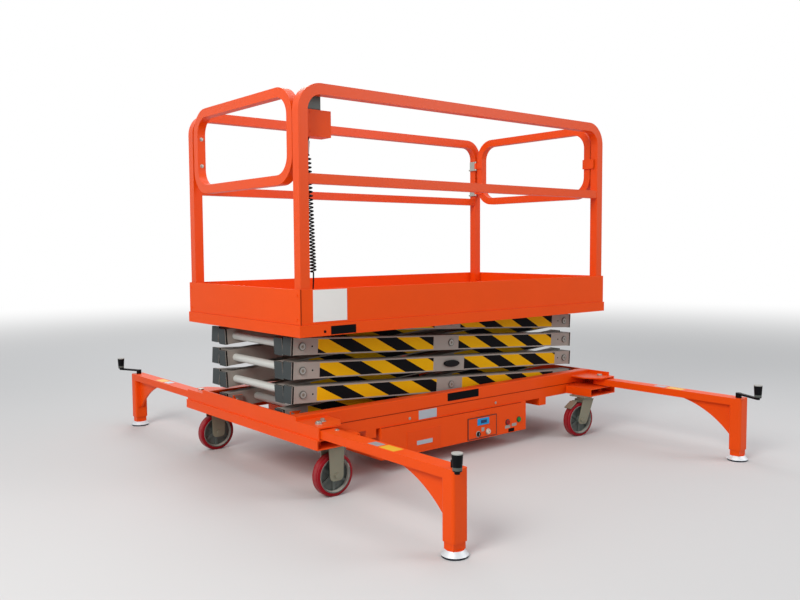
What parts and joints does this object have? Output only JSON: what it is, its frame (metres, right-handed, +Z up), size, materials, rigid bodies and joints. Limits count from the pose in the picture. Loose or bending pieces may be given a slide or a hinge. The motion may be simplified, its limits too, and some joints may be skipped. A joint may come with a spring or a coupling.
{
  "type": "mobile scissor lift platform",
  "caption": "Push-around scissor lift: railed work platform on stacked striped scissor arms, a framed base with casters and swing-out outriggers with screw feet.",
  "frame": {"origin": "on the ground under the middle of the machine, with the four outriggers swung out", "axes": "X along the machine with the swing gate's end at +X, Y across it with the power box on -Y, Z up"},
  "size_m": [2.2948, 3.2578, 1.87],
  "materials": {
    "paint": "orange powder coat, slightly glossy",
    "arm_metal": "silver grey paint with yellow and black hazard stripes",
    "button": "glossy",
    "ram_barrel": "black paint",
    "ram_rod": "polished",
    "zinc": "zinc plated, dull",
    "grey_plastic": "matte",
    "cord": "matte",
    "wheel_core": "grey paint",
    "tread": "polyurethane, semi-gloss",
    "grip": "black"
  },
  "bodies": {
    "base": {"base_frame": "paint", "power_box": "paint", "box_doors": "paint", "box_buttons": "button", "swivel_plates": "zinc", "near_left_fork": "zinc", "far_left_fork": "zinc"},
    "inner_1": {"inner_frame_1": "arm_metal", "inner_tubes_1": "arm_metal"},
    "outer_1": {"outer_arms_1": "arm_metal"},
    "inner_2": {"inner_frame_2": "arm_metal", "inner_tubes_2": "arm_metal"},
    "outer_2": {"outer_arms_2": "arm_metal"},
    "inner_3": {"inner_frame_3": "arm_metal", "inner_tubes_3": "arm_metal"},
    "outer_3": {"outer_arms_3": "arm_metal"},
    "inner_4": {"inner_frame_4": "arm_metal", "inner_tubes_4": "arm_metal"},
    "outer_4": {"outer_arms_4": "arm_metal"},
    "platform": {"deck": "paint", "toe_boards": "paint", "near_guard": "paint", "far_guard": "paint", "end_guard": "paint", "gate_hinges": "zinc", "console": "paint", "console_head": "grey_plastic", "cord_coil": "cord", "cord_lead": "cord", "floor_gland": "cord"},
    "gate": {"gate": "paint"},
    "barrel": {"cylinder_barrel": "ram_barrel"},
    "rod": {"cylinder_rod": "ram_rod"},
    "near_left_wheel": {"near_left_core": "wheel_core", "near_left_tread": "tread"},
    "near_left_outrigger": {"near_left_outrigger": "paint", "near_left_crank": "grip"},
    "near_left_jack": {"near_left_jack": "paint"},
    "far_left_wheel": {"far_left_core": "wheel_core", "far_left_tread": "tread"},
    "far_left_outrigger": {"far_left_outrigger": "paint", "far_left_crank": "grip"},
    "far_left_jack": {"far_left_jack": "paint"},
    "near_right_wheel": {"near_right_core": "wheel_core", "near_right_tread": "tread"},
    "near_right_outrigger": {"near_right_outrigger": "paint", "near_right_crank": "grip"},
    "near_right_jack": {"near_right_jack": "paint"},
    "far_right_wheel": {"far_right_core": "wheel_core", "far_right_tread": "tread"},
    "far_right_outrigger": {"far_right_outrigger": "paint", "far_right_crank": "grip"},
    "far_right_jack": {"far_right_jack": "paint"},
    "near_right_swivel": {"near_right_fork": "zinc"},
    "far_right_swivel": {"far_right_fork": "zinc"}
  },
  "joints": [
    {"name": "lift", "type": "hinge", "parent": "base", "child": "inner_1", "pos_m": [-0.99, 0, 0.333], "axis": [0, -1, 0], "range_deg": [0, 46]},
    {"name": "cross_1", "type": "hinge", "parent": "inner_1", "child": "outer_1", "pos_m": [-0.0352, 0, 0.39], "axis": [0, -1, 0], "range_deg": [-92, 0]},
    {"name": "knuckle_1", "type": "hinge", "parent": "outer_1", "child": "inner_2", "pos_m": [-0.99, 0, 0.447], "axis": [0, -1, 0], "range_deg": [0, 92]},
    {"name": "cross_2", "type": "hinge", "parent": "inner_2", "child": "outer_2", "pos_m": [-0.0352, 0, 0.504], "axis": [0, -1, 0], "range_deg": [-92, 0]},
    {"name": "knuckle_2", "type": "hinge", "parent": "outer_2", "child": "inner_3", "pos_m": [-0.99, 0, 0.561], "axis": [0, -1, 0], "range_deg": [0, 92]},
    {"name": "cross_3", "type": "hinge", "parent": "inner_3", "child": "outer_3", "pos_m": [-0.0352, 0, 0.618], "axis": [0, -1, 0], "range_deg": [-92, 0]},
    {"name": "knuckle_3", "type": "hinge", "parent": "outer_3", "child": "inner_4", "pos_m": [-0.99, 0, 0.675], "axis": [0, -1, 0], "range_deg": [0, 92]},
    {"name": "cross_4", "type": "hinge", "parent": "inner_4", "child": "outer_4", "pos_m": [-0.0352, 0, 0.732], "axis": [0, -1, 0], "range_deg": [-92, 0]},
    {"name": "platform_level", "type": "hinge", "parent": "outer_4", "child": "platform", "pos_m": [-0.99, 0, 0.789], "axis": [0, -1, 0], "range_deg": [0, 46]},
    {"name": "cylinder_turn", "type": "hinge", "parent": "base", "child": "barrel", "pos_m": [-0.64, 0, 0.273], "axis": [0, -1, 0], "range_deg": [0, 57.57]},
    {"name": "cylinder_stroke", "type": "slide", "parent": "barrel", "child": "rod", "axis": [0.9915, 0, 0.1303], "range_m": [0, 0.2011]},
    {"name": "gate_hinge", "type": "hinge", "parent": "platform", "child": "gate", "pos_m": [1.035, 0.486, 1.6], "axis": [0, 0, -1], "range_deg": [0, 90]},
    {"name": "near_left_wheel_spin", "type": "hinge", "parent": "base", "child": "near_left_wheel", "pos_m": [-0.95, -0.575, 0.1], "axis": [0, 1, 0], "continuous": true},
    {"name": "near_left_swing", "type": "hinge", "parent": "base", "child": "near_left_outrigger", "pos_m": [-1.03, -0.585, 0.31], "axis": [0, 0, 1], "range_deg": [0, 90]},
    {"name": "near_left_foot", "type": "slide", "parent": "near_left_outrigger", "child": "near_left_jack", "axis": [0, 0, 1], "range_m": [-0.1, 0.025]},
    {"name": "far_left_wheel_spin", "type": "hinge", "parent": "base", "child": "far_left_wheel", "pos_m": [-0.95, 0.575, 0.1], "axis": [0, 1, 0], "continuous": true},
    {"name": "far_left_swing", "type": "hinge", "parent": "base", "child": "far_left_outrigger", "pos_m": [-1.03, 0.585, 0.31], "axis": [0, 0, -1], "range_deg": [0, 90]},
    {"name": "far_left_foot", "type": "slide", "parent": "far_left_outrigger", "child": "far_left_jack", "axis": [0, 0, 1], "range_m": [-0.1, 0.025]},
    {"name": "near_right_swivel", "type": "hinge", "parent": "base", "child": "near_right_swivel", "pos_m": [0.895, -0.575, 0.2], "axis": [0, 0, 1], "continuous": true},
    {"name": "near_right_wheel_spin", "type": "hinge", "parent": "near_right_swivel", "child": "near_right_wheel", "pos_m": [0.84549, -0.56804, 0.1], "axis": [0.1392, 0.9903, 0], "continuous": true},
    {"name": "near_right_swing", "type": "hinge", "parent": "base", "child": "near_right_outrigger", "pos_m": [1.03, -0.585, 0.31], "axis": [0, 0, -1], "range_deg": [0, 90]},
    {"name": "near_right_foot", "type": "slide", "parent": "near_right_outrigger", "child": "near_right_jack", "axis": [0, 0, 1], "range_m": [-0.1, 0.025]},
    {"name": "far_right_swivel", "type": "hinge", "parent": "base", "child": "far_right_swivel", "pos_m": [0.895, 0.575, 0.2], "axis": [0, 0, 1], "continuous": true},
    {"name": "far_right_wheel_spin", "type": "hinge", "parent": "far_right_swivel", "child": "far_right_wheel", "pos_m": [0.84549, 0.58196, 0.1], "axis": [0.1392, 0.9903, 0], "continuous": true},
    {"name": "far_right_swing", "type": "hinge", "parent": "base", "child": "far_right_outrigger", "pos_m": [1.03, 0.585, 0.31], "axis": [0, 0, 1], "range_deg": [0, 90]},
    {"name": "far_right_foot", "type": "slide", "parent": "far_right_outrigger", "child": "far_right_jack", "axis": [0, 0, 1], "range_m": [-0.1, 0.025]}
  ],
  "couplings": [
    {"joint": "cross_1", "follows": "lift", "ratio": -2},
    {"joint": "knuckle_1", "follows": "lift", "ratio": 2},
    {"joint": "cross_2", "follows": "lift", "ratio": -2},
    {"joint": "knuckle_2", "follows": "lift", "ratio": 2},
    {"joint": "cross_3", "follows": "lift", "ratio": -2},
    {"joint": "knuckle_3", "follows": "lift", "ratio": 2},
    {"joint": "cross_4", "follows": "lift", "ratio": -2},
    {"joint": "platform_level", "follows": "lift", "ratio": 1},
    {"joint": "cylinder_turn", "follows": "lift", "ratio": 1.2514},
    {"joint": "cylinder_stroke", "follows": "lift", "m_per_rad": 0.24989}
  ]
}
